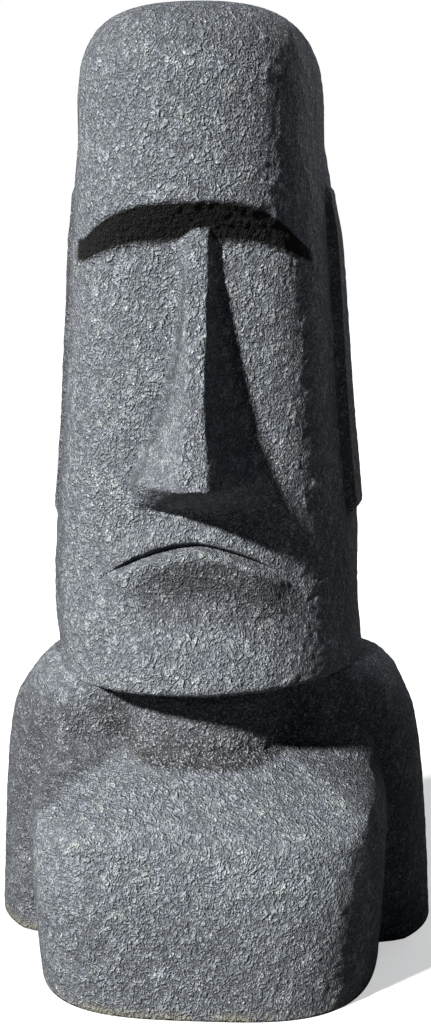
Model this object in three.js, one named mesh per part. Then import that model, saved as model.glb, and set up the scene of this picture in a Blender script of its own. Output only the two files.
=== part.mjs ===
// A garden moai: head, long ears, neck, torso and arms in one hollow casting, built as one solid.
// Millimetres, +Z up, the face looks along -Y, the underside lies on Z = 0.
import * as THREE from 'three';

const { clamp, degToRad, lerp, radToDeg, smoothstep } = THREE.MathUtils;

// Driving heights
const height = 1500;
const crownStart = 1300;
const jawHeight = 490;
const collarHeight = 366;
const shoulderTop = 560;

// The head sits a little to one side of the torso, as it was modelled by hand
const headShift = -10;
const shiftFrom = 480;
const shiftTo = 600;

// The jaw's edge climbs slightly towards one side, over a short undercut
const jawClimb = 0.035;
const jawReach = 180;
const jawUndercut = 14;
const jawRounding = 0.8;

// Brow: an arch with an overhang below its edge; the left half stays high for longer
const brow = {
  peak: 1206, drop: 76, reach: 170, power: 2.6, left: 0.8,
  foot: 1143, footDrop: 26, footReach: 163, footPower: 3,
  farthest: 180, thinnest: 8,
};

// Levels of the same guide lines behind the ears, where there are no features
const behind = { collar: 440, mouth: 650, browFoot: 1120, browEdge: 1128 };

// Ears: from and to are angles around the head from straight ahead
const ear = {
  from: 80.3, to: 99.6, edge: 1.3, left: 6, right: 13, bottom: 718, bottomRound: 18, top: 1240, topRound: 16,
  taperFrom: 95, taperTo: 8, taperShare: 0.45,
};

// Nose: stands out more and widens towards the tip, then slopes back to the face; where it meets the brow
// its left flank spreads to a point
const nose = {
  centre: 14, top: 1164, tip: 797, base: 757, baseSlope: 44, basePower: 0.9,
  bridgeStandOut: 19, standOut: 119, standOutPower: 1.3,
  halfWidthTop: 28, halfWidthTip: 106, widthPower: 2.2,
  ridge: 16, ridgeTaper: 5, tipSpread: 9, tipSpreadFrom: 0.6,
  rootSpread: 20, rootSpreadTo: 0.2, rootPoint: 9, rootPointTo: 0.12,
  flankHollow: 1.5, wingLeft: 0.88, wingRight: 0.5, wingFrom: 0.75,
};

// Mouth: a groove along a drooping line, with a lip above and a deeper ledge below
const mouth = {
  centre: 3, peak: 703, drop: 46, halfLength: 129, farthest: 150, power: 1.7,
  groove: 12, grooveWidth: 5, grooveFadeFrom: 85, grooveFadeTo: 130,
  lip: 18, lipTo: -90, lipFrom: -8, lipEdge: 2, lipFadeFrom: 100, lipFadeTo: 160,
  upperLip: 8, upperLipFrom: -2, upperLipFull: 6, upperLipFalls: 4, upperLipTo: 50,
};
const philtrum = { centre: 12, width: 16, depth: 5, from: 700, full: 712, falls: 735, to: 760 };

// Profiles: [height, size] pairs joined by a smooth curve
const headSide = [[480, 247], [660, 244], [880, 225], [1120, 208], [1240, 197], [1330, 184]];
const headBack = [[480, 205], [700, 225], [1000, 215], [1300, 190]];
const headFlare = [[480, 0.05], [620, 0.12], [800, 0.17], [1000, 0.16], [1200, 0.11], [1330, 0.06]];
const faceFront = [
  [480, 268], [520, 266], [560, 255], [600, 241], [640, 227], [680, 222], [750, 216], [900, 208],
  [1300, 195],
];
const facePower = [[480, 2.2], [620, 2.45], [720, 2.85], [800, 3.3], [1000, 3.4], [1200, 3.4]];
const foreheadFront = [[1100, 250], [1206, 248], [1300, 238]];
const neckFront = [[0, 150], [300, 166], [400, 168], [480, 166]];
const yokeFront = [[0, 98], [380, 98], [440, 96], [480, 86], [516, 40]];
const yokeSide = [[0, 262], [400, 258], [450, 238], [490, 205], [516, 120]];
const chestFront = [
  [0, 321], [120, 318], [200, 310], [260, 301], [310, 287], [350, 266], [420, 215], [516, 20],
];
const torsoSide = [
  [0, 281], [120, 288], [250, 290], [350, 274], [420, 260], [470, 232], [505, 168], [516, 60],
];
const torsoBack = [[0, 252], [300, 247], [420, 238], [480, 228], [516, 212], [560, 150]];
const torsoPower = [[0, 3.6], [120, 3.8], [260, 4], [370, 2.7]];
const torsoFlare = [[0, 0.06], [120, 0.05], [250, 0.03], [350, 0.18]];
const armSide = [
  [0, 371], [175, 361], [315, 348], [385, 333], [420, 319], [457, 298], [487, 258], [516, 120],
];
const armFront = [[0, 38], [300, 40], [380, 60], [450, 90], [516, 40]];
const armCorner = [[0, 231], [300, 222], [400, 214], [457, 200], [516, 90]];
const armBack = [[0, 165], [350, 165], [450, 150], [516, 60]];
const armBlend = [[0, 14], [300, 18], [420, 70], [516, 70]];

// Powers of the rounded plans: the higher, the squarer
const foreheadPower = 2.55;
const neckPower = 2.1;
const yokePower = 4;
const armPower = 8;
const crownPower = 3.6;

// Neck, and the fillets that join it to the shoulders and the head to the body
const neckSide = 150;
const neckFillet = 24;
const jawFillet = 30;
const headFillet = 12;

// The chest slopes back to the neck below the collar, in front only, and lower down in the middle
const chestSlope = {
  drop: 112, power: 1.7, from: 0.12, to: 0.42, above: 6, cornerDrop: 76, cornerFrom: 0.55, cornerTo: 0.8,
};

// The left arm reaches out further; the arms' front corners are cut at an angle
const armLeft = { extra: 16, from: 475, over: 110 };
const armCut = { across: 0.632, ahead: 0.776 };

// Plan that distances from the face's centre line are read off
const facePlan = { front: 200, side: 206, back: 215, flare: 0.14, power: 4.5 };

// Where the front of the statue ends, and where its features have faded out, as cosines of the direction
const frontEnd = [-0.1, 0.25];
const featureEnd = [0.1, 0.5];

// Bands of rows from the ground up, and the number of steps in each
const bands = {
  torso: 7, slope: 6, neck: 4, jawUnderside: 3, chin: 5, lowerLip: 3, upperLip: 2, noseBase: 3, cheeks: 9,
  brow: 3, forehead: 4, crown: 8,
};
const bandEdge = { mouthBelow: 16, mouthAbove: 8, noseBase: 758, overMouth: 20, noseTip: 804 };
const bandNames = Object.keys(bands);

// Columns around the statue: [from degrees, to degrees, steps]
const otherEar = { from: 360 - ear.to, to: 360 - ear.from };
const sectors = [
  [-28, 28, 24], [28, 78, 13], [78, ear.from, 1], [ear.from, ear.from + ear.edge, 1],
  [ear.from + ear.edge, ear.to - ear.edge, 2], [ear.to - ear.edge, ear.to, 1], [ear.to, otherEar.from, 20],
  [otherEar.from, otherEar.from + ear.edge, 1], [otherEar.from + ear.edge, otherEar.to - ear.edge, 2],
  [otherEar.to - ear.edge, otherEar.to, 1], [otherEar.to, 282, 1], [282, 332, 13],
];

// Smooth curve through a profile's pairs, flat where it would overshoot
function profile(pairs, level) {
  const last = pairs.length - 1;
  const slope = (i) => (pairs[i + 1][1] - pairs[i][1]) / (pairs[i + 1][0] - pairs[i][0]);
  const tangent = (i) => {
    if (i === 0) return slope(0);
    if (i === last) return slope(last - 1);
    return slope(i - 1) * slope(i) <= 0 ? 0 : (slope(i - 1) + slope(i)) / 2;
  };
  const z = clamp(level, pairs[0][0], pairs[last][0]);
  let i = 0;
  while (i < last - 1 && z >= pairs[i + 1][0]) i += 1;
  const span = pairs[i + 1][0] - pairs[i][0];
  const t = (z - pairs[i][0]) / span;
  return (1 + 2 * t) * (1 - t) ** 2 * pairs[i][1]
    + t * (1 - t) ** 2 * span * tangent(i)
    + t * t * (3 - 2 * t) * pairs[i + 1][1]
    + t * t * (t - 1) * span * tangent(i + 1);
}

// Larger of two radii, with a fillet of about the given width between them
function softMax(a, b, width) {
  const h = clamp(0.5 + (0.5 * (a - b)) / width, 0, 1);
  return lerp(b, a, h) + (width * h * (1 - h)) / 2;
}

// Radius of a rounded plan in one direction: the power mean of its flat sides
function planRadius(angle, { front, side, back, flare = 0, power }) {
  const ahead = Math.cos(angle);
  const across = Math.sin(angle);
  const sum = Math.max(0, ahead / front) ** power
    + Math.max(0, -ahead / back) ** power
    + Math.max(0, (across + flare * ahead) / side) ** power
    + Math.max(0, (-across + flare * ahead) / side) ** power;
  return sum ** (-1 / power);
}

function armRadius(angle, z) {
  const ahead = Math.cos(angle);
  const across = Math.abs(Math.sin(angle));
  const extra = Math.sin(angle) < 0 ? armLeft.extra * smoothstep(armLeft.from - z, 0, armLeft.over) : 0;
  const corner = armCut.across * across + armCut.ahead * ahead;
  const sum = Math.max(0, ahead / profile(armFront, z)) ** armPower
    + Math.max(0, -ahead / profile(armBack, z)) ** armPower
    + (across / (profile(armSide, z) + extra)) ** armPower
    + Math.max(0, corner / profile(armCorner, z)) ** armPower;
  return sum ** (-1 / armPower);
}

// How much a direction belongs to the front of the statue, 0 to 1
const frontShare = (angle) => smoothstep(Math.cos(angle), ...frontEnd);

// Droops to both sides of its middle
function mouthLevel(x) {
  const reach = Math.min(Math.abs(x - mouth.centre), mouth.farthest) / mouth.halfLength;
  return mouth.peak - mouth.drop * reach ** mouth.power;
}

// Heights that the bands of rows run between, in one direction
function guideLevels(angle) {
  const share = frontShare(angle);
  const x = Math.sin(angle) * planRadius(angle, facePlan);
  const reach = Math.min(Math.abs(x - nose.centre), brow.farthest);
  const archReach = (x < nose.centre ? brow.left : 1) * reach;
  const footReach = (reach + archReach) / 2;
  const browFoot = brow.foot - brow.footDrop * (footReach / brow.footReach) ** brow.footPower;
  const browEdge = brow.peak - brow.drop * (archReach / brow.reach) ** brow.power;
  const foot = lerp(behind.browFoot, browFoot, share);
  const edge = Math.max(lerp(behind.browEdge, browEdge, share), foot + brow.thinnest);
  const lips = lerp(behind.mouth, mouthLevel(x), share);
  const jaw = jawHeight + jawClimb * share * clamp(x, -jawReach, jawReach);
  const collar = lerp(behind.collar, collarHeight, share);
  return [
    0, collar - chestSlope.drop, collar + chestSlope.above, jaw - jawUndercut, jaw,
    lips - bandEdge.mouthBelow, lips + bandEdge.mouthAbove,
    Math.max(bandEdge.noseBase, lips + bandEdge.overMouth), bandEdge.noseTip, foot, edge, crownStart,
  ];
}

// One column of rows: height, neck-to-head share, face-to-forehead share and crown scale
function columnRows(angle) {
  const levels = guideLevels(angle);
  const rows = [];
  bandNames.forEach((name, index) => {
    for (let step = 0; step < bands[name]; step += 1) {
      const t = step / bands[name];
      const row = {
        z: lerp(levels[index], levels[index + 1], t),
        head: index > bandNames.indexOf('jawUnderside') ? 1 : 0,
        forehead: index > bandNames.indexOf('brow') ? 1 : 0,
        scale: 1,
      };
      if (name === 'jawUnderside') {
        row.z = lerp(levels[index], levels[index + 1], 1 - Math.sqrt(1 - t * t));
        row.head = t ** jawRounding;
      }
      if (name === 'brow') row.forehead = t;
      if (name === 'crown') {
        const turn = (t * Math.PI) / 2;
        row.z = lerp(crownStart, height, Math.sin(turn) ** (2 / crownPower));
        row.scale = Math.cos(turn) ** (2 / crownPower);
      }
      rows.push(row);
    }
  });
  return rows;
}

// An oval neck joined to the level fronts of the shoulders beside it
function neckRadius(angle, z) {
  const back = profile(headBack, z);
  const neck = planRadius(angle, { front: profile(neckFront, z), side: neckSide, back, power: neckPower });
  const yoke = planRadius(angle, {
    front: profile(yokeFront, z), side: profile(yokeSide, z), back, power: yokePower,
  });
  return softMax(neck, yoke, neckFillet);
}

// Head and neck radius, before the features
function headRadius(angle, {
  z, head, forehead, scale,
}) {
  const level = Math.min(z, crownStart);
  const sides = {
    side: profile(headSide, level), back: profile(headBack, level), flare: profile(headFlare, level),
  };
  const face = planRadius(angle, {
    ...sides, front: profile(faceFront, level), power: profile(facePower, level),
  });
  const front = profile(foreheadFront, level);
  const overEyes = planRadius(angle, { ...sides, front, power: foreheadPower });
  const upper = lerp(face, overEyes, forehead * frontShare(angle));
  return lerp(neckRadius(angle, z), upper * scale, head);
}

// Torso and arms, sloping back to the neck in front
function bodyRadius(angle, z) {
  const torso = planRadius(angle, {
    front: profile(chestFront, z),
    side: profile(torsoSide, z),
    back: profile(torsoBack, z),
    flare: profile(torsoFlare, z),
    power: profile(torsoPower, z),
  });
  const whole = softMax(torso, armRadius(angle, z), profile(armBlend, z));
  const ahead = Math.cos(angle);
  const middle = smoothstep(ahead, chestSlope.cornerFrom, chestSlope.cornerTo);
  const drop = lerp(chestSlope.cornerDrop, chestSlope.drop, middle);
  const rise = clamp((z - collarHeight + drop) / drop, 0, 1);
  const share = rise ** chestSlope.power * smoothstep(ahead, chestSlope.from, chestSlope.to);
  return lerp(whole, Math.min(whole, neckRadius(angle, z)), share);
}

// How far the nose stands out of the face plane
function noseRelief(x, z) {
  const down = clamp((nose.top - z) / (nose.top - nose.tip), 0, 1);
  const left = x < nose.centre ? 1 : 0;
  const halfWidth = lerp(nose.halfWidthTop, nose.halfWidthTip, down ** nose.widthPower)
    + left * nose.rootSpread * (1 - smoothstep(down, 0, nose.rootSpreadTo));
  const ridge = nose.ridge - nose.ridgeTaper * down
    + nose.tipSpread * smoothstep(down, nose.tipSpreadFrom, 1)
    - left * nose.rootPoint * (1 - smoothstep(down, 0, nose.rootPointTo));
  const aside = clamp((Math.abs(x - nose.centre) - ridge) / (halfWidth - ridge), 0, 1);
  const standOut = lerp(nose.bridgeStandOut, nose.standOut, down ** nose.standOutPower);
  const fullness = left ? nose.wingLeft : nose.wingRight;
  const hollow = nose.flankHollow - fullness * smoothstep(down, nose.wingFrom, 1);
  return standOut * (1 - aside) ** hollow * clamp((z - nose.base) / nose.baseSlope, 0, 1) ** nose.basePower;
}

// Mouth: the groove, both lips, and the shallow hollow above them
function mouthRelief(x, z) {
  const above = z - mouthLevel(x);
  const aside = Math.abs(x - mouth.centre);
  const groove = -mouth.groove * Math.exp(-((above / mouth.grooveWidth) ** 2))
    * (1 - smoothstep(aside, mouth.grooveFadeFrom, mouth.grooveFadeTo));
  const lower = mouth.lip * (1 - smoothstep(above, mouth.lipFrom, mouth.lipEdge))
    * smoothstep(above, mouth.lipTo, mouth.lipFrom);
  const upper = mouth.upperLip * smoothstep(above, mouth.upperLipFrom, mouth.upperLipFull)
    * (1 - smoothstep(above, mouth.upperLipFalls, mouth.upperLipTo));
  const lips = (lower + upper) * (1 - smoothstep(aside, mouth.lipFadeFrom, mouth.lipFadeTo));
  const hollow = -philtrum.depth * Math.exp(-(((x - philtrum.centre) / philtrum.width) ** 2))
    * smoothstep(z, philtrum.from, philtrum.full) * (1 - smoothstep(z, philtrum.falls, philtrum.to));
  return groove + lips + hollow;
}

// Share of the ear slab at one place on the side of the head: tapers away towards its top
function earShare(angle, z) {
  const turn = Math.abs(radToDeg(Math.atan2(Math.sin(angle), Math.cos(angle))));
  const around = smoothstep(turn, ear.from, ear.from + ear.edge)
    * (1 - smoothstep(turn, ear.to - ear.edge, ear.to));
  const rounded = (1 - ear.taperShare) * (1 - smoothstep(z, ear.top - ear.topRound, ear.top))
    + ear.taperShare * (1 - smoothstep(z, ear.top - ear.taperFrom, ear.top - ear.taperTo));
  return around * rounded * smoothstep(z, ear.bottom, ear.bottom + ear.bottomRound);
}

// Features stand out of the face only as far as they pass the overhang of the brow
function surfacePoint(angle, row) {
  const { z, head } = row;
  const plain = headRadius(angle, row);
  const fillet = z < shiftFrom ? jawFillet : headFillet;
  const radius = z < shoulderTop ? softMax(plain, bodyRadius(angle, z), fillet) : plain;
  const x = radius * Math.sin(angle);
  let features = 0;
  if (head === 1 && z < brow.peak) {
    const overhang = radius - headRadius(angle, { ...row, forehead: 0 });
    features = Math.max(noseRelief(x, z) - overhang, 0) + mouthRelief(x, z);
  }
  const y = -radius * Math.cos(angle) - features * smoothstep(Math.cos(angle), ...featureEnd);
  const earOut = (x < 0 ? -ear.left : ear.right) * earShare(angle, z);
  return [x + earOut + headShift * smoothstep(z, shiftFrom, shiftTo), y, z];
}

// Closed surface: a grid of columns and rows, with a centre point below and one on top
function statueGeometry() {
  const angles = sectors.flatMap(([from, to, steps]) => Array.from(
    { length: steps },
    (unused, step) => degToRad(lerp(from, to, step / steps)),
  ));
  const positions = angles.flatMap((angle) => columnRows(angle).flatMap((row) => surfacePoint(angle, row)));
  const rowCount = Object.values(bands).reduce((sum, steps) => sum + steps, 0);
  const bottom = angles.length * rowCount;
  const top = bottom + 1;
  positions.push(0, 0, 0, headShift, 0, height);
  const triangles = [];
  angles.forEach((unused, column) => {
    const here = column * rowCount;
    const next = ((column + 1) % angles.length) * rowCount;
    for (let row = 0; row < rowCount - 1; row += 1) {
      triangles.push(here + row, next + row, next + row + 1);
      triangles.push(here + row, next + row + 1, here + row + 1);
    }
    triangles.push(bottom, next, here);
    triangles.push(here + rowCount - 1, next + rowCount - 1, top);
  });
  const geometry = new THREE.BufferGeometry();
  geometry.setAttribute('position', new THREE.Float32BufferAttribute(positions, 3));
  geometry.setIndex(triangles);
  geometry.computeVertexNormals();
  geometry.computeBoundingBox();
  const middle = geometry.boundingBox.getCenter(new THREE.Vector3());
  geometry.translate(-middle.x, -middle.y, 0);
  return geometry;
}

const castStone = new THREE.MeshStandardMaterial({ color: 0x5b6068, roughness: 0.8, metalness: 0 });

const statue = new THREE.Mesh(statueGeometry(), castStone);
statue.name = 'moai_statue';

const moai = new THREE.Group();
moai.add(statue);

export default moai;
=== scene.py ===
import math

import bpy
import numpy as np
from mathutils import Euler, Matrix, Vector


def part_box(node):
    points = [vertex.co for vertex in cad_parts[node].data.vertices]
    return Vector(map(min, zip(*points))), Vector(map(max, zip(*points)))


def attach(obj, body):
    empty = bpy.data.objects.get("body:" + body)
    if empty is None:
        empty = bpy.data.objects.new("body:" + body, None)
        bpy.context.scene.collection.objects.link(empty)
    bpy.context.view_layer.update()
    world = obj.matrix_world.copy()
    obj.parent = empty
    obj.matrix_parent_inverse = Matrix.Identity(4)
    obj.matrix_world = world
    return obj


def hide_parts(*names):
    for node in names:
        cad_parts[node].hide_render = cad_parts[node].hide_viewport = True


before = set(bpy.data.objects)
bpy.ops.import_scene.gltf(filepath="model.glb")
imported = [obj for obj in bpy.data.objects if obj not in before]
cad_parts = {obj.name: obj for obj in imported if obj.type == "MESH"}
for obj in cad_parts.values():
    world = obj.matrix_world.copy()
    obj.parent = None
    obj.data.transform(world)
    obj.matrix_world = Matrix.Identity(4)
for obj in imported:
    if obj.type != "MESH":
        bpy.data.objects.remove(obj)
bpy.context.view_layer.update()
statueLow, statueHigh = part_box("moai_statue")
unit = (statueHigh.z - statueLow.z) / 1500  # the sizes below are in 1/1500 of the statue's height


def smoothStep(value, start, end):
    # 0 up to start, 1 from end on, 3t^2 - 2t^3 between
    t = np.clip((value - start) / (end - start), 0, 1)
    return t * t * (3 - 2 * t)


def mix(a, b, share):
    return a + (b - a) * share


def softMax(a, b, width):
    # larger of two values, with a quadratic fillet of that width where they are close
    h = np.clip(0.5 + 0.5 * (a - b) / width, 0, 1)
    return mix(b, a, h) + width * h * (1 - h) / 2


def bell(value, width):
    # e to minus the square of value over width: 1 at zero, falling off to both sides
    return np.exp(-((value / width) ** 2))


def profileCurve(pairs, level):
    # cubic Hermite curve through (level, size) pairs, flat where it would overshoot
    levels, sizes = np.array(pairs, float).T
    slopes = np.diff(sizes) / np.diff(levels)
    inner = np.where(slopes[:-1] * slopes[1:] <= 0, 0, (slopes[:-1] + slopes[1:]) / 2)
    tangents = np.concatenate([slopes[:1], inner, slopes[-1:]])
    z = np.clip(level, levels[0], levels[-1])
    i = np.clip(np.searchsorted(levels, z, side="right") - 1, 0, len(levels) - 2)
    span = levels[i + 1] - levels[i]
    t = (z - levels[i]) / span
    return (
        (1 + 2 * t) * (1 - t) ** 2 * sizes[i]
        + t * (1 - t) ** 2 * span * tangents[i]
        + t * t * (3 - 2 * t) * sizes[i + 1]
        + t * t * (t - 1) * span * tangents[i + 1]
    )


def planRadius(angle, front, side, back, flare, power):
    # radius of a rounded plan in one direction: the power mean of its four flat sides
    ahead, across = np.cos(angle), np.sin(angle)
    total = (
        np.maximum(0, ahead / front) ** power
        + np.maximum(0, -ahead / back) ** power
        + np.maximum(0, (across + flare * ahead) / side) ** power
        + np.maximum(0, (-across + flare * ahead) / side) ** power
    )
    return total ** (-1 / power)


head = {
    # (level, size) pairs; the higher a plan's power, the squarer it is
    "side": [(480, 247), (660, 244), (880, 225), (1120, 208), (1240, 197), (1330, 184)],
    "back": [(480, 205), (700, 225), (1000, 215), (1300, 190)],
    "flare": [(480, 0.05), (620, 0.12), (800, 0.17), (1000, 0.16), (1200, 0.11), (1330, 0.06)],
    "faceFront": [
        (480, 268), (520, 266), (560, 255), (600, 241), (640, 227), (680, 222), (750, 216), (900, 208),
        (1300, 195),
    ],
    "facePower": [(480, 2.2), (620, 2.45), (720, 2.85), (800, 3.3), (1000, 3.4), (1200, 3.4)],
    "foreheadFront": [(1100, 250), (1206, 248), (1300, 238)],
    "foreheadPower": 2.55,
    "crownStart": 1300,
    "crownTop": 1500,
    "crownPower": 3.6,
    "shift": -10,  # the head sits a little to one side of the torso
    "shiftBetween": (480, 600),
    "frontEnd": (-0.1, 0.25),  # cosines of the directions between which the front ends
    "featureEnd": (0.1, 0.5),
    "featuresFrom": 500,
}
jaw = {
    "level": 490,
    "climb": 0.035,  # its edge climbs slightly towards one side
    "reach": 180,
    "undercut": 14,
    "rounding": 0.8,  # power of the way out from the neck
}
brow = {
    "peak": 1206,
    "drop": 76,
    "reach": 170,
    "power": 2.6,
    "foot": 1143,
    "footDrop": 26,
    "footReach": 326,  # of both reaches together
    "footPower": 3,
    "farthest": 180,
    "thinnest": 8,
    "left": 0.8,  # the left half stays high for longer, so that it ends bluntly
}
behind = {"collar": 440, "mouth": 650, "browFoot": 1120, "browEdge": 1128}  # the same levels behind the ears
facePlan = {"front": 200, "side": 206, "back": 215, "flare": 0.14, "power": 4.5}
ear = {
    "from": 80.3,  # degrees around from straight ahead
    "to": 99.6,
    "edge": 1.3,
    "left": 6,
    "right": 13,
    "bottom": 718,
    "bottomRound": 18,
    "top": 1240,
    "topRound": 16,
    "taperFrom": 95,
    "taperTo": 8,
    "taperShare": 0.45,
}
nose = {
    "centre": 14,
    "top": 1164,
    "tip": 797,
    "base": 757,
    "baseSlope": 44,
    "basePower": 0.9,
    "bridgeStandOut": 19,
    "standOut": 119,
    "standOutPower": 1.3,
    "halfWidthTop": 28,
    "halfWidthTip": 106,
    "widthPower": 2.2,
    "ridge": 16,
    "ridgeTaper": 5,
    "tipSpread": 9,
    "tipFrom": 0.6,  # shares of the way down from the top
    "rootSpread": 20,  # where it meets the brow, its left flank spreads to a point
    "rootSpreadTo": 0.2,
    "rootPoint": 9,
    "rootPointTo": 0.12,
    "flankHollow": 1.5,
    "wingLeft": 0.88,
    "wingRight": 0.5,
    "wingFrom": 0.75,
}
mouth = {
    "centre": 3,
    "peak": 703,
    "drop": 46,
    "halfLength": 129,
    "farthest": 150,
    "power": 1.7,
    "groove": 12,
    "grooveWidth": 5,
    "grooveFade": (85, 130),
    "lip": 18,
    "lipEdge": (-8, 2),
    "lipFall": (-90, -8),
    "upperLip": 8,
    "upperLipEdge": (-2, 6),
    "upperLipFall": (4, 50),
    "lipFade": (100, 160),
}
philtrum = {"centre": 12, "width": 16, "depth": 5, "foot": (700, 712), "top": (735, 760)}
neck = {
    "front": [(0, 150), (300, 166), (400, 168), (480, 166)],
    "side": 150,
    "power": 2.1,
    "yokeFront": [(0, 98), (380, 98), (440, 96), (480, 86), (516, 40)],  # shoulders beside the neck
    "yokeSide": [(0, 262), (400, 258), (450, 238), (490, 205), (516, 120)],
    "yokePower": 4,
    "fillet": 24,
}
bodyProfiles = {
    "chestFront": [
        (0, 321), (120, 318), (200, 310), (260, 301), (310, 287), (350, 266), (420, 215), (516, 20),
    ],
    "torsoSide": [
        (0, 281), (120, 288), (250, 290), (350, 274), (420, 260), (470, 232), (505, 168), (516, 60),
    ],
    "torsoBack": [(0, 252), (300, 247), (420, 238), (480, 228), (516, 212), (560, 150)],
    "torsoPower": [(0, 3.6), (120, 3.8), (260, 4), (370, 2.7)],
    "torsoFlare": [(0, 0.06), (120, 0.05), (250, 0.03), (350, 0.18)],
    "armSide": [
        (0, 371), (175, 361), (315, 348), (385, 333), (420, 319), (457, 298), (487, 258), (516, 120),
    ],
    "armFront": [(0, 38), (300, 40), (380, 60), (450, 90), (516, 40)],
    "armCorner": [(0, 231), (300, 222), (400, 214), (457, 200), (516, 90)],
    "armBack": [(0, 165), (350, 165), (450, 150), (516, 60)],
    "armBlend": [(0, 14), (300, 18), (420, 70), (516, 70)],
}
body = {
    "armPower": 8,
    "armLeft": 16,  # the left arm reaches out this much further
    "armLeftTop": 475,
    "armLeftOver": 110,
    "cutAcross": 0.632,  # direction of the arms' front corners
    "cutAhead": 0.776,
    "shoulderTop": 560,
    "collar": 366,  # where the chest has sloped back to the neck
    "slope": 112,
    "cornerSlope": 76,
    "cornerBetween": (0.55, 0.8),  # cosines of directions
    "scoopBetween": (0.12, 0.42),
    "scoopPower": 1.7,
    "jawFillet": 30,
    "jawFilletTop": 480,
    "headFillet": 12,
}
grid = {
    # rows in each band from the ground up, and each sector's first and last degree and its columns
    "rows": [54, 36, 18, 10, 46, 14, 12, 16, 80, 20, 26, 44],
    "jawBand": 3,
    "browBand": 9,
    "crownBand": 11,
    "aboveCollar": 6,
    "mouthBelow": 16,
    "mouthAbove": 8,
    "noseBase": 758,
    "overMouth": 20,
    "noseTip": 804,
    "sectors": [
        (-28, 28, 64), (28, 78, 46), (78, 102, 12), (102, 258, 82), (258, 282, 12), (282, 332, 46),
    ],
}


def frontShare(angle):
    # 1 in front and 0 behind, by the cosine of the direction
    return smoothStep(np.cos(angle), *head["frontEnd"])


def mouthLevel(x):
    # droops to both sides of its middle by a power of the distance
    reach = np.minimum(abs(x - mouth["centre"]), mouth["farthest"]) / mouth["halfLength"]
    return mouth["peak"] - mouth["drop"] * reach ** mouth["power"]


def guideLevels(angle):
    # heights that the bands of rows run between, in each direction around the statue
    share = frontShare(angle)
    x = np.sin(angle) * planRadius(angle, **facePlan)
    reach = np.minimum(abs(x - nose["centre"]), brow["farthest"])
    archReach = np.where(x < nose["centre"], brow["left"] * reach, reach)
    footReach = (archReach + reach) / brow["footReach"]
    browFoot = brow["foot"] - brow["footDrop"] * footReach ** brow["footPower"]
    browEdge = brow["peak"] - brow["drop"] * (archReach / brow["reach"]) ** brow["power"]
    foot = mix(behind["browFoot"], browFoot, share)
    edge = np.maximum(mix(behind["browEdge"], browEdge, share), foot + brow["thinnest"])
    lips = mix(behind["mouth"], mouthLevel(x), share)
    jawEdge = jaw["level"] + jaw["climb"] * share * np.clip(x, -jaw["reach"], jaw["reach"])
    collar = mix(behind["collar"], body["collar"], share)
    one = np.ones_like(angle)
    return [
        0 * one,
        collar - body["slope"],
        collar + grid["aboveCollar"],
        jawEdge - jaw["undercut"],
        jawEdge,
        lips - grid["mouthBelow"],
        lips + grid["mouthAbove"],
        np.maximum(grid["noseBase"], lips + grid["overMouth"]),
        grid["noseTip"] * one,
        foot,
        edge,
        head["crownStart"] * one,
    ]


def surfaceRows(angle):
    # for each row and column: height, neck-to-head share, face-to-forehead share and crown scale
    levels = guideLevels(angle)
    rows = []
    for band, steps in enumerate(grid["rows"]):
        t = np.linspace(0, 1, steps, endpoint=False)[:, None] + 0 * angle
        isHead = 1.0 * (band > grid["jawBand"]) + 0 * t
        isForehead = 1.0 * (band > grid["browBand"]) + 0 * t
        scale = 1 + 0 * t
        if band == grid["crownBand"]:  # a superellipse dome
            power = 2 / head["crownPower"]
            z = mix(head["crownStart"], head["crownTop"], np.sin(t * np.pi / 2) ** power)
            scale = np.cos(t * np.pi / 2) ** power
        elif band == grid["jawBand"]:  # underside of the jaw: nearly level, then a rounded edge
            z = mix(levels[band], levels[band + 1], 1 - np.sqrt(1 - t * t))
            isHead = t ** jaw["rounding"]
        else:
            z = mix(levels[band], levels[band + 1], t)
        if band == grid["browBand"]:
            isForehead = t
        rows.append((z, isHead, isForehead, scale))
    return [np.concatenate(part) for part in zip(*rows)]


def neckRadius(angle, z):
    # an oval neck joined to the level fronts of the shoulders beside it
    back = profileCurve(head["back"], z)
    oval = planRadius(angle, profileCurve(neck["front"], z), neck["side"], back, 0, neck["power"])
    yokeFront, yokeSide = profileCurve(neck["yokeFront"], z), profileCurve(neck["yokeSide"], z)
    return softMax(oval, planRadius(angle, yokeFront, yokeSide, back, 0, neck["yokePower"]), neck["fillet"])


def headRadius(angle, z, isHead, isForehead, scale):
    # face plan below the brow, forehead plan above it, and the neck below the jaw
    level = np.minimum(z, head["crownStart"])
    side, back = profileCurve(head["side"], level), profileCurve(head["back"], level)
    flare, facePower = profileCurve(head["flare"], level), profileCurve(head["facePower"], level)
    faceFront = profileCurve(head["faceFront"], level)
    foreheadFront = profileCurve(head["foreheadFront"], level)
    face = planRadius(angle, faceFront, side, back, flare, facePower)
    forehead = planRadius(angle, foreheadFront, side, back, flare, head["foreheadPower"])
    upper = mix(face, forehead, isForehead * frontShare(angle))
    return mix(neckRadius(angle, z), upper * scale, isHead)


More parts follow.
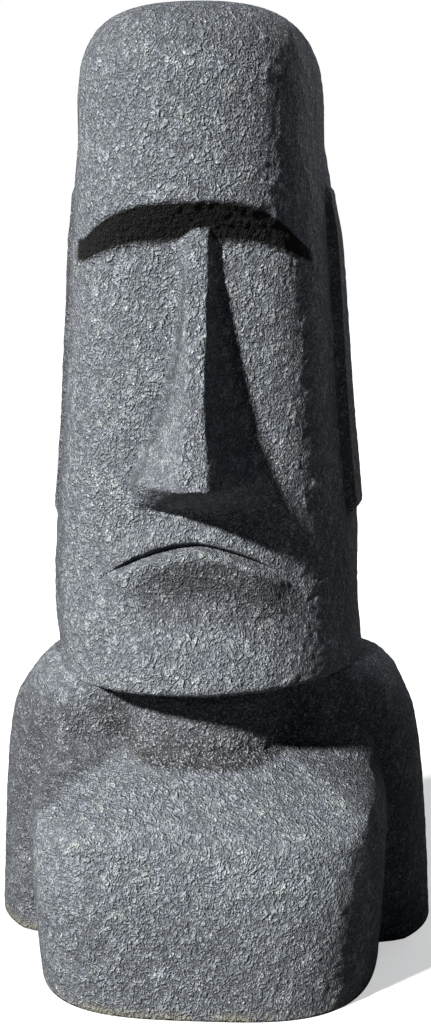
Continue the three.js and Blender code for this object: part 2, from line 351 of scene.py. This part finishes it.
def bodyRadius(angle, z):
    # torso and arms joined by a fillet; in front they slope back to the neck by a power of the height
    ahead, across = np.cos(angle), abs(np.sin(angle))
    size = {name: profileCurve(pairs, z) for name, pairs in bodyProfiles.items()}
    torso = planRadius(
        angle,
        size["chestFront"],
        size["torsoSide"],
        size["torsoBack"],
        size["torsoFlare"],
        size["torsoPower"],
    )
    further = (np.sin(angle) < 0) * smoothStep(body["armLeftTop"] - z, 0, body["armLeftOver"])
    armSide = size["armSide"] + body["armLeft"] * further
    corner = body["cutAcross"] * across + body["cutAhead"] * ahead
    power = body["armPower"]
    arm = (
        np.maximum(0, ahead / size["armFront"]) ** power
        + np.maximum(0, -ahead / size["armBack"]) ** power
        + (across / armSide) ** power
        + np.maximum(0, corner / size["armCorner"]) ** power
    ) ** (-1 / power)
    whole = softMax(torso, arm, size["armBlend"])
    slope = mix(body["cornerSlope"], body["slope"], smoothStep(ahead, *body["cornerBetween"]))
    rise = np.clip((z - body["collar"] + slope) / slope, 0, 1)
    scoop = rise ** body["scoopPower"] * smoothStep(ahead, *body["scoopBetween"])
    return mix(whole, np.minimum(whole, neckRadius(angle, z)), scoop)


def noseDown(z):
    # 0 at the top of the nose, 1 at its tip
    return np.clip((nose["top"] - z) / (nose["top"] - nose["tip"]), 0, 1)


def noseHalfWidth(x, z):
    # widens by a power of the way down, and on the left also towards the brow
    down = noseDown(z)
    root = (1 - smoothStep(down, 0, nose["rootSpreadTo"])) * (x < nose["centre"])
    halfWidth = mix(nose["halfWidthTop"], nose["halfWidthTip"], down ** nose["widthPower"])
    return halfWidth + nose["rootSpread"] * root


def noseRelief(x, z):
    # a ridge that stands out more towards the tip, with concave flanks and a sloped underside
    down = noseDown(z)
    left = x < nose["centre"]
    halfWidth = noseHalfWidth(x, z)
    ridge = nose["ridge"] - nose["ridgeTaper"] * down
    ridge = ridge + nose["tipSpread"] * smoothStep(down, nose["tipFrom"], 1)
    ridge = ridge - nose["rootPoint"] * (1 - smoothStep(down, 0, nose["rootPointTo"])) * left
    aside = np.clip((abs(x - nose["centre"]) - ridge) / (halfWidth - ridge), 0, 1)
    standOut = mix(nose["bridgeStandOut"], nose["standOut"], down ** nose["standOutPower"])
    baseFade = np.clip((z - nose["base"]) / nose["baseSlope"], 0, 1) ** nose["basePower"]
    fullness = np.where(left, nose["wingLeft"], nose["wingRight"])
    hollow = nose["flankHollow"] - fullness * smoothStep(down, nose["wingFrom"], 1)
    return standOut * (1 - aside) ** hollow * baseFade


def mouthRelief(x, z):
    # a groove along the mouth line, a lip ledge below it, a lip above it and a shallow hollow over that
    above = z - mouthLevel(x)
    aside = abs(x - mouth["centre"])
    groove = -mouth["groove"] * bell(above, mouth["grooveWidth"])
    groove = groove * (1 - smoothStep(aside, *mouth["grooveFade"]))
    lower = mouth["lip"] * (1 - smoothStep(above, *mouth["lipEdge"])) * smoothStep(above, *mouth["lipFall"])
    upper = mouth["upperLip"] * smoothStep(above, *mouth["upperLipEdge"])
    upper = upper * (1 - smoothStep(above, *mouth["upperLipFall"]))
    lips = (lower + upper) * (1 - smoothStep(aside, *mouth["lipFade"]))
    hollow = -philtrum["depth"] * bell(x - philtrum["centre"], philtrum["width"])
    hollow = hollow * smoothStep(z, *philtrum["foot"]) * (1 - smoothStep(z, *philtrum["top"]))
    return groove + lips + hollow


def earShare(angle, z):
    # a slab between two directions, rounded at its foot, that tapers away towards its top
    turn = abs(np.degrees(np.arctan2(np.sin(angle), np.cos(angle))))
    around = smoothStep(turn, ear["from"], ear["from"] + ear["edge"])
    around *= 1 - smoothStep(turn, ear["to"] - ear["edge"], ear["to"])
    rounded = 1 - smoothStep(z, ear["top"] - ear["topRound"], ear["top"])
    tapered = 1 - smoothStep(z, ear["top"] - ear["taperFrom"], ear["top"] - ear["taperTo"])
    top = mix(rounded, tapered, ear["taperShare"])
    return around * top * smoothStep(z, ear["bottom"], ear["bottom"] + ear["bottomRound"])


def statueSurface(angle):
    # x is the radius times the sine of the direction, and y is minus the radius times its cosine
    # the features stand out along -Y, the nose only as far as it passes the brow's overhang
    z, isHead, isForehead, scale = surfaceRows(angle)
    turn = angle + 0 * z
    radius = headRadius(turn, z, isHead, isForehead, scale)
    fillet = np.where(z < body["jawFilletTop"], body["jawFillet"], body["headFillet"])
    radius = np.where(z < body["shoulderTop"], softMax(radius, bodyRadius(turn, z), fillet), radius)
    x = radius * np.sin(turn)
    overhang = radius - headRadius(turn, z, isHead, 0 * isForehead, scale)
    proud = np.maximum(noseRelief(x, z) - overhang, 0) * (isHead == 1)
    onFace = (z > head["featuresFrom"]) & (z < brow["peak"])
    features = np.where(onFace, proud + mouthRelief(x, z), 0)
    y = -radius * np.cos(turn) - features * smoothStep(np.cos(turn), *head["featureEnd"])
    x = x + np.where(x < 0, -ear["left"], ear["right"]) * earShare(turn, z)
    x = x + head["shift"] * smoothStep(z, *head["shiftBetween"])
    return np.stack([x, y, z], -1), isHead, isForehead, proud


def columnAngles():
    # evenly spaced in each sector: closest on the nose, then on the face, and widest at the sides and back
    spaced = [np.linspace(first, last, columns, endpoint=False) for first, last, columns in grid["sectors"]]
    return np.radians(np.concatenate(spaced))


relief = {
    # relief of the cast skin: size of each layer's lumps and its height
    "swells": [(95, 0.5), (40, 0.4)],  # slow swells and dents left by hand modelling
    "pillows": [(19, 1.5), (9.5, 1.3)],  # lumps and grains, with creases between them
    "tall": 0.75,  # lumps are stretched upwards a little
    "wander": 30,
    "wanderShare": 0.6,
    "steepness": 2.2,
    "creased": 0.75,
    "smooth": 0.5,
    "calmMouth": 0.75,  # how much flatter the pillows are along the mouth
    "calmMouthWidth": 9,
    "calmMouthEnd": (120, 150),
    "calmSides": 0.4,  # and on the sides, from one sine of the direction to the other
    "calmSidesFrom": (0.5, 0.8),
    "groundFade": 14,
    "crownFade": 31,
    "lattice": 64,
    "offset": 1000.5,  # keeps the lattice's cells above zero
    "seed": 8,
    "pillowSeed": 5,
    "wanderSeed": 20,
}


def gradientNoise(points, size, seed):
    # smooth noise: slopes drawn at the corners of a cubic lattice, blended along each axis
    rng = np.random.default_rng(seed)
    lattice = relief["lattice"]
    slopes = rng.normal(0, 1, (lattice, lattice, lattice, 3))
    cell = points / size + relief["offset"]
    low = np.floor(cell).astype(int)
    t = cell - low
    blend = t * t * t * (t * (t * 6 - 15) + 10)
    total = 0
    for corner in np.ndindex(2, 2, 2):
        weight = np.prod(np.where(corner, blend, 1 - blend), axis=-1)
        i, j, k = np.moveaxis((low + corner) % lattice, -1, 0)
        total = total + weight * np.sum(slopes[i, j, k] * (t - corner), axis=-1)
    return total


def skinRelief(points):
    # slow swells, plus pillows: a smooth noise and its distance from zero, which leaves creases
    seed = relief["seed"]
    stretched = points * [1, 1, relief["tall"]]
    wanderSeed = seed + relief["wanderSeed"]
    wander = np.stack([gradientNoise(points, relief["wander"], wanderSeed + i) for i in range(3)], -1)
    swell = 0
    for i, (size, tall) in enumerate(relief["swells"]):
        swell = swell + tall * gradientNoise(points, size, seed + i)
    pillows = 0
    for i, (size, tall) in enumerate(relief["pillows"]):
        moved = stretched + wander * size * relief["wanderShare"]
        noise = gradientNoise(moved, size, seed + relief["pillowSeed"] + i)
        ridged = np.minimum(abs(noise) * relief["steepness"], 1) - 0.5
        pillows = pillows + tall * (relief["creased"] * ridged + relief["smooth"] * np.clip(noise, -1, 1))
    return swell, pillows


def gridNormals(points):
    # cross product of the differences between neighbouring columns and rows
    around = np.roll(points, -1, 1) - np.roll(points, 1, 1)
    up = np.gradient(points, axis=0)
    normal = np.cross(around, up)
    return normal / np.maximum(np.linalg.norm(normal, axis=-1, keepdims=True), 1e-9)


def pushSkin(points, turned, sine):
    # relief along the normals, none at the ground line and on the crown's pole
    swell, pillows = skinRelief(points)
    x, z = points[..., 0], points[..., 2]
    calm = bell(z - mouthLevel(x), relief["calmMouthWidth"]) * (turned > 0)
    calm = calm * (1 - smoothStep(abs(x), *relief["calmMouthEnd"]))
    sideways = smoothStep(sine, *relief["calmSidesFrom"])
    height = swell + pillows * (1 - relief["calmMouth"] * calm) * (1 - relief["calmSides"] * sideways)
    fade = smoothStep(z, 0, relief["groundFade"])
    fade = fade * smoothStep(head["crownTop"] - z, 0, relief["crownFade"])
    shaped = points + gridNormals(points) * (height * fade)[..., None]
    shaped[..., 2] = np.maximum(shaped[..., 2], 0)
    return shaped, pillows


paint = {
    # painted shade: how much darker each place is painted where shade falls, and the ranges it fades over:
    # levels, distances across, and for a name that ends in Turned, sines or cosines of the direction
    # painted shade under the brow, partly the dark paint of that hollow
    "browStart": 6,
    "browEnd": (0.9, 1.0),
    "browNose": (0, 4),
    "browTurned": (0.54, 0.62),
    # painted shade on the arms' sides, partly thinner dry brushing
    "arms": 0.45,
    "armsTop": (380, 480),
    "armsTurned": (0.72, 0.8),
    # painted shade: the head darker towards its sides, where the light falls off
    "sides": 0.46,
    "sidesTurned": (0.8, 0.97),
    # painted shade under the lower lip, partly darker paint in that hollow
    "lip": 0.6,
    "lipStart": (12, 22),  # below the mouth
    "lipEnd": (45, 150),
    "lipShift": 28,
    "lipAside": (70, 160),
    "lipTurned": (0.3, 0.5),
    # darker towards the bottom
    "foot": 0.22,
    "footTop": (110, 230),
    "crease": 0.4,  # painted shade in the creases beside the nose, partly darker paint there
    "creaseWidth": 9,
    "creaseStart": (760, 800),
    "creaseEnd": (1080, 1140),
    "creaseTurned": (0.5, 0.7),
    # painted shade: the crown darker, against the light its top catches
    "crown": 0.25,
    "crownStart": (1340, 1470),
    # painted shade over the whole head, so that it stays darker than the chest
    "head": 0.08,
}
neckPaint = {
    "below": 21,  # how far under the collar it begins in front
    "rise": 56,
    "level": 55,  # it is level this far to each side, then rises by a power of the distance
    "farthest": 150,
    "reach": 127,
    "power": 2.4,
    "edge": (-3, 4),
    "turned": (0.40, 0.54),
    "least": 0.6,  # how dark it is far above its edge
    # the darkest band just over the edge is painted shade
    "fall": 45,
}


def paintedShadeMask(x, z, turned, sine, isHead, isForehead, proud):
    # painted shade, largest of: brow's underside, arms, sides, under the lip, foot, nose creases, crown,
    # head
    soffitShade = np.clip(isForehead * paint["browStart"], 0, 1) * (1 - smoothStep(isForehead, *paint["browEnd"]))
    soffitShade *= smoothStep(turned, *paint["browTurned"]) * (1 - smoothStep(proud, *paint["browNose"]))
    arms = smoothStep(sine, *paint["armsTurned"]) * (1 - smoothStep(z, *paint["armsTop"]))
    sides = smoothStep(sine, *paint["sidesTurned"]) * isHead
    below = mouthLevel(x) - z
    underLip = smoothStep(below, *paint["lipStart"]) * (1 - smoothStep(below, *paint["lipEnd"])) * isHead
    underLip *= 1 - smoothStep(abs(x - mouth["centre"] - paint["lipShift"]), *paint["lipAside"])
    underLip *= smoothStep(turned, *paint["lipTurned"])
    foot = 1 - smoothStep(z, *paint["footTop"])
    crease = bell(abs(x - nose["centre"]) - noseHalfWidth(x, z), paint["creaseWidth"])
    crease *= smoothStep(z, *paint["creaseStart"]) * (1 - smoothStep(z, *paint["creaseEnd"]))
    crease *= smoothStep(turned, *paint["creaseTurned"])
    crown = smoothStep(z, *paint["crownStart"])
    return np.maximum.reduce([
        soffitShade,
        arms * paint["arms"],
        sides * paint["sides"],
        underLip * paint["lip"],
        foot * paint["foot"],
        crease * paint["crease"],
        crown * paint["crown"],
        isHead * paint["head"],
    ])


def neckPatinaAndShade(x, z, turned, isHead):
    # dark neck paint above a level that rises ever faster to the sides, darkest just over it: that band is
    # painted shade
    aside = np.clip(abs(x) - neckPaint["level"], 0, neckPaint["farthest"]) / neckPaint["reach"]
    over = z - (body["collar"] - neckPaint["below"] + neckPaint["rise"] * aside ** neckPaint["power"])
    covered = (1 - isHead) * smoothStep(over, *neckPaint["edge"]) * smoothStep(turned, *neckPaint["turned"])
    return covered * mix(neckPaint["least"], 1, bell(over, neckPaint["fall"]))


def closedMesh(name, points, bottom, top):
    # quads between rows and columns, closed by triangles to a point below and a point on top
    rows, columns = points.shape[:2]
    vertices = np.vstack([points.reshape(-1, 3), bottom, top])
    index = np.arange(rows * columns).reshape(rows, columns)
    nextColumn = np.roll(index, -1, 1)
    quads = np.stack([index[:-1], nextColumn[:-1], nextColumn[1:], index[1:]], -1).reshape(-1, 4)
    pole = np.full(columns, rows * columns)
    under = np.stack([pole, nextColumn[0], index[0]], -1)
    over = np.stack([index[-1], nextColumn[-1], pole + 1], -1)
    mesh = bpy.data.meshes.new(name)
    mesh.from_pydata(vertices.tolist(), [], quads.tolist() + under.tolist() + over.tolist())
    print("statue:", len(quads) * 2 + 2 * columns, "triangles")
    return mesh


def buildStatue():
    angle = columnAngles()
    points, isHead, isForehead, proud = statueSurface(angle)
    low, high = points.reshape(-1, 3).min(0), points.reshape(-1, 3).max(0)
    centre = (low + high) / 2 * [1, 1, 0]
    x, z = points[..., 0], points[..., 2]
    turned, sine = np.cos(angle) + 0 * z, abs(np.sin(angle)) + 0 * z
    shaped, pillows = pushSkin(points, turned, sine)
    paintedShade = paintedShadeMask(x, z, turned, sine, isHead, isForehead, proud)
    patinaAndShade = neckPatinaAndShade(x, z, turned, isHead)
    top = (np.array([head["shift"], 0, head["crownTop"]]) - centre) * unit
    mesh = closedMesh("moai_cast", (shaped - centre) * unit, [0, 0, 0], top)
    for name, values in (("paintedShade", paintedShade), ("raised", pillows), ("patinaAndShade", patinaAndShade)):
        attribute = mesh.attributes.new(name, "FLOAT", "POINT")
        attribute.data.foreach_set("value", np.append(values.ravel(), [0, 0]).astype(np.float32))
    mesh.shade_smooth()
    mesh.validate()
    statue = bpy.data.objects.new("moai_cast", mesh)
    bpy.context.scene.collection.objects.link(statue)
    return statue


class Shade:
    # wraps a node socket, so that shader maths is written as ordinary expressions

    def __init__(self, nodes, socket):
        self.nodes, self.socket = nodes, socket

    def math(self, operation, *values):
        return self.nodes.add("ShaderNodeMath", {"operation": operation}, dict(enumerate(values)))

    def __add__(self, other):
        return self.math("ADD", self, other)

    def __sub__(self, other):
        return self.math("SUBTRACT", self, other)

    def __mul__(self, other):
        return self.math("MULTIPLY", self, other)

    def __rsub__(self, other):
        return self.math("SUBTRACT", other, self)

    __radd__, __rmul__ = __add__, __mul__

    def size(self):
        return self.math("ABSOLUTE", self)

    def least(self, other):
        return self.math("MINIMUM", self, other)

    def step(self, start, end):
        # 0 at start, 1 at end, smooth between
        values = {"Value": self, "From Min": start, "From Max": end}
        return self.nodes.add("ShaderNodeMapRange", {"interpolation_type": "SMOOTHSTEP"}, values)


class ShadeNodes:
    def __init__(self, material):
        material.use_nodes = True
        self.tree = material.node_tree
        self.tree.nodes.clear()

    def add(self, kind, settings=None, values=None, output=0):
        node = self.tree.nodes.new(kind)
        for name, value in (settings or {}).items():
            setattr(node, name, value)
        for name, value in (values or {}).items():
            if isinstance(value, Shade):
                self.tree.links.new(value.socket, node.inputs[name])
            else:
                node.inputs[name].default_value = value
        return Shade(self, node.outputs[output]) if node.outputs else None

    def blend(self, share, a, b):
        # a where the share is 0, b where it is 1, for colours
        return self.add("ShaderNodeMix", {"data_type": "RGBA"}, {0: share, 6: a, 7: b}, output=2)


stone = {
    # base colours, from the creases up to the rubbed tops
    "crease": (0.040, 0.042, 0.048, 1),
    "body": (0.118, 0.131, 0.152, 1),
    "rubbed": (0.262, 0.285, 0.330, 1),
    "grey": (0.262, 0.286, 0.278, 1),
    "speck": (0.50, 0.51, 0.53, 1),
    "shade": (0.024, 0.025, 0.028, 1),
    # painted shade: nearly black for the brow's underside, partly its dark paint
    "soffitShade": (0.003, 0.003, 0.003, 1),
    "patinaAndShade": (0.024, 0.024, 0.025, 1),
    "dirt": (0.17, 0.15, 0.10, 1),
    # patterns per metre, and heights in metres
    "crinkle": 105,
    "crinkleHeight": 0.0040,
    "vein": 60,
    "veinHeight": 0.0010,
    "grain": 230,
    "grainHeight": 0.0021,
    "fine": 520,
    "fineHeight": 0.0004,
    "speckle": 430,
    "flecks": 260,
    "patches": 17,
    "tints": 34,
    "tall": 0.8,
    "dirtTop": 0.022,
    "roughNoise": 0.55,
    "steepness": 4,  # of the crinkles and grains
    "crackWidth": 0.045,
    "veinCrackWidth": 0.016,
    "veinWidth": 0.05,
    "flattest": 0.3,  # how much of its height the skin keeps in the calmest patches
    "patchHeight": 1.4,
    # what each pattern adds to the wear, and what the painted shade takes from it
    "wearCrinkle": 0.22,
    "wearGrain": 0.38,
    "wearRaised": 0.12,
    "wearFine": 0.9,
    "wearPatches": 0.35,
    "brushPaintedShade": 0.30,
    "bodyPaintedShade": 0.5,
    # values between which each paint starts to show and covers
    "brushRange": (0.72, 1.25),
    "bodyRange": (0.3, 0.8),
    "tintRange": (0.42, 0.60),
    "fleckRange": (0.56, 0.66),
    "speckRange": (0.58, 0.66),
    "speckWorn": (0.7, 1.05),
    "soffitRange": (0.75, 1.0),
    "dirtRange": (0.35, 0.6),
    # how much of each darker or lighter paint there is
    "crackShare": 0.72,
    "shadeShare": 0.8,
    "patinaAndShadeShare": 0.96,
    "fleckShare": 0.65,
    "speckShare": 0.6,
    "soffitShare": 0.97,
    "dirtShare": 0.6,
    # how rough the surface is, less where it is rubbed and more where shade is painted
    "roughness": 0.68,
    "brushGloss": 0.15,
    "fineRoughness": 0.1,
    "paintedShadeRoughness": 0.22,
    "specular": 0.2,
}


def castStoneMaterial():
    material = bpy.data.materials.new("cast_stone")
    nodes = ShadeNodes(material)
    place = nodes.add("ShaderNodeTexCoord", output=3)
    paintedShade, raised, patinaAndShade = (
        nodes.add("ShaderNodeAttribute", {"attribute_name": name}, output=2)
        for name in ("paintedShade", "raised", "patinaAndShade")
    )

    def noise(scale, detail, distortion=0.0, at=place):
        return nodes.add("ShaderNodeTexNoise", values={
            "Vector": at,
            "Scale": scale,
            "Detail": detail,
            "Roughness": stone["roughNoise"],
            "Distortion": distortion,
        })

    stretch = {0: place, 1: (1, 1, stone["tall"])}
    tall = nodes.add("ShaderNodeVectorMath", {"operation": "MULTIPLY"}, stretch)
    # distances from the middle value of a noise: small along wandering lines, which become creases
    crinkle = (noise(stone["crinkle"], 1, 0.8, tall) - 0.5).size()
    vein = (noise(stone["vein"], 2, 1.0, tall) - 0.5).size()
    grain = (noise(stone["grain"], 1, 0.5, tall) - 0.5).size()
    fine = noise(stone["fine"], 2)
    patches = noise(stone["patches"], 2, 0.5)
    crinkleTop, grainTop = (crinkle * stone["steepness"]).least(1), (grain * stone["steepness"]).least(1)
    cracks = crinkle.step(0.0, stone["crackWidth"]).least(vein.step(0.0, stone["veinCrackWidth"]))
    height = crinkleTop * stone["crinkleHeight"] + grainTop * stone["grainHeight"]
    height = height * (stone["flattest"] + patches * stone["patchHeight"]) + fine * stone["fineHeight"]
    height = height + vein.step(0.0, stone["veinWidth"]) * stone["veinHeight"]
    # dry brushing: raised places are rubbed lighter and creases stay dark; less is rubbed where shade is
    # painted
    worn = crinkleTop * stone["wearCrinkle"] + grainTop * stone["wearGrain"] + raised * stone["wearRaised"]
    worn = worn + fine * stone["wearFine"] + patches * stone["wearPatches"]
    brush = (worn - paintedShade * stone["brushPaintedShade"]).step(*stone["brushRange"])
    tint = noise(stone["tints"], 2).step(*stone["tintRange"])
    covered = (worn - paintedShade * stone["bodyPaintedShade"]).step(*stone["bodyRange"])
    base = nodes.blend(covered, stone["crease"], stone["body"])
    colour = nodes.blend(brush, base, nodes.blend(tint, stone["rubbed"], stone["grey"]))
    colour = nodes.blend((1 - cracks) * stone["crackShare"], colour, stone["crease"])
    # painted shade: the shade colour laid where the mask says shade falls
    colour = nodes.blend(paintedShade * stone["shadeShare"], colour, stone["shade"])
    flecks = noise(stone["flecks"], 1).step(*stone["fleckRange"]) * stone["fleckShare"]
    flecked = nodes.blend(flecks, stone["patinaAndShade"], stone["rubbed"])
    # the neck's dark paint, with painted shade just over the collar
    colour = nodes.blend(patinaAndShade * stone["patinaAndShadeShare"], colour, flecked)
    speck = noise(stone["speckle"], 1).step(*stone["speckRange"]) * worn.step(*stone["speckWorn"])
    colour = nodes.blend(speck * stone["speckShare"], colour, stone["speck"])
    # painted shade: the brow's underside laid nearly black, partly the dark paint of that hollow
    soffitShade = paintedShade.step(*stone["soffitRange"]) * stone["soffitShare"]
    colour = nodes.blend(soffitShade, colour, stone["soffitShade"])
    up = nodes.add("ShaderNodeSeparateXYZ", values={0: place}, output=2)
    rim = (1 - up.step(0.0, stone["dirtTop"])) * patches.step(*stone["dirtRange"])
    colour = nodes.blend(rim * stone["dirtShare"], colour, stone["dirt"])
    roughness = stone["roughness"] - brush * stone["brushGloss"]
    roughness = roughness + fine * stone["fineRoughness"] + paintedShade * stone["paintedShadeRoughness"]
    bump = nodes.add("ShaderNodeBump", values={"Strength": 1.0, "Distance": 1.0, "Height": height})
    surface = nodes.add("ShaderNodeBsdfPrincipled", values={
        "Base Color": colour,
        "Roughness": roughness,
        "Normal": bump,
        "Specular IOR Level": stone["specular"],
    })
    nodes.add("ShaderNodeOutputMaterial", values={"Surface": surface})
    return material


camera = {
    "place": (0.219, -2.355, 1.125),  # metres from the middle of the statue's underside, angles in degrees
    "yaw": 4.85,
    "pitch": -9.62,
    "roll": -0.5,
    "lens": 52.77,
    "sensor": 36,
}
stage = {
    "floor": (0.85, 0.85, 0.85, 1),
    "floorBounce": (0.12, 0.12, 0.12, 1),
    "floorGlow": 0.5,  # lightens the statue's shadow on the floor
    "floorRadius": 40,
    "floorSides": 96,
    "background": (1, 1, 1, 1),
    "ambient": (0.55, 0.72, 1.0, 1),
    "ambientStrength": 0.058,
    "keyFrom": (-0.591, -0.612, 0.525),
    "keyStrength": 11.9,
    "keySpread": 3.5,  # degrees: a wide source, so shadow edges are a little soft
    "keyColour": (1.0, 0.985, 0.95),
    "backPlace": (1.9, 3.3, 2.6),
    "backTarget": (0, 0, 0.75),
    "backSize": 2.6,
    "backPower": 60,
    "backColour": (0.92, 0.96, 1.0),
}


def addFloor():
    # pale to look at, but it throws little light back up at the statue
    sides, radius = stage["floorSides"], stage["floorRadius"]
    bpy.ops.mesh.primitive_circle_add(vertices=sides, radius=radius, fill_type="NGON")
    floor = bpy.context.object
    floor.name = "floor"
    material = bpy.data.materials.new("pale_floor")
    nodes = ShadeNodes(material)
    seen = nodes.add("ShaderNodeLightPath")
    pale = nodes.add("ShaderNodeBsdfDiffuse", values={"Color": stage["floor"]})
    dim = nodes.add("ShaderNodeBsdfDiffuse", values={"Color": stage["floorBounce"]})
    glow = nodes.add("ShaderNodeEmission", values={"Color": stage["background"]})
    soft = nodes.add("ShaderNodeMixShader", values={0: stage["floorGlow"], 1: pale, 2: glow})
    surface = nodes.add("ShaderNodeMixShader", values={0: seen, 1: dim, 2: soft})
    nodes.add("ShaderNodeOutputMaterial", values={"Surface": surface})
    floor.data.materials.append(material)


def addLight(name, kind, energy, colour, direction):
    # a lamp's own -Z points the way it shines
    light = bpy.data.lights.new(name, kind)
    light.energy = energy
    light.color = colour
    lamp = bpy.data.objects.new(name, light)
    lamp.rotation_mode = "QUATERNION"
    lamp.rotation_quaternion = Vector(direction).to_track_quat("-Z", "Y")
    bpy.context.scene.collection.objects.link(lamp)
    return lamp


def addLights():
    key = addLight("key", "SUN", stage["keyStrength"], stage["keyColour"], -Vector(stage["keyFrom"]))
    key.data.angle = math.radians(stage["keySpread"])
    toStatue = Vector(stage["backTarget"]) - Vector(stage["backPlace"])
    back = addLight("back", "AREA", stage["backPower"], stage["backColour"], toStatue)
    back.data.shape = "DISK"
    back.data.size = stage["backSize"]
    back.location = stage["backPlace"]


def addBackground():
    # a pale backdrop for the camera, and a much dimmer sky for the statue
    world = bpy.data.worlds.new("studio")
    nodes = ShadeNodes(world)
    seen = nodes.add("ShaderNodeLightPath")
    strength = seen + (1 - seen) * stage["ambientStrength"]
    colour = nodes.blend(seen, stage["ambient"], stage["background"])
    sky = nodes.add("ShaderNodeBackground", values={"Color": colour, "Strength": strength})
    nodes.add("ShaderNodeOutputWorld", values={"Surface": sky})
    bpy.context.scene.world = world


def addCamera():
    data = bpy.data.cameras.new("camera")
    data.sensor_width = camera["sensor"]
    data.lens = camera["lens"]
    viewer = bpy.data.objects.new("camera", data)
    viewer.location = camera["place"]
    yaw, pitch, roll = (math.radians(camera[name]) for name in ("yaw", "pitch", "roll"))
    turn = Euler((0, 0, yaw)).to_matrix() @ Euler((math.pi / 2 + pitch, 0, 0)).to_matrix()
    viewer.rotation_euler = (turn @ Euler((0, 0, roll)).to_matrix()).to_euler()
    bpy.context.scene.collection.objects.link(viewer)
    bpy.context.scene.camera = viewer


statue = buildStatue()
statue.data.materials.append(castStoneMaterial())
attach(statue, "root")
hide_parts("moai_statue")
print("material: done")

addFloor()
addCamera()
addLights()
addBackground()
bpy.context.scene.view_settings.view_transform = "Standard"
print("stage: done")
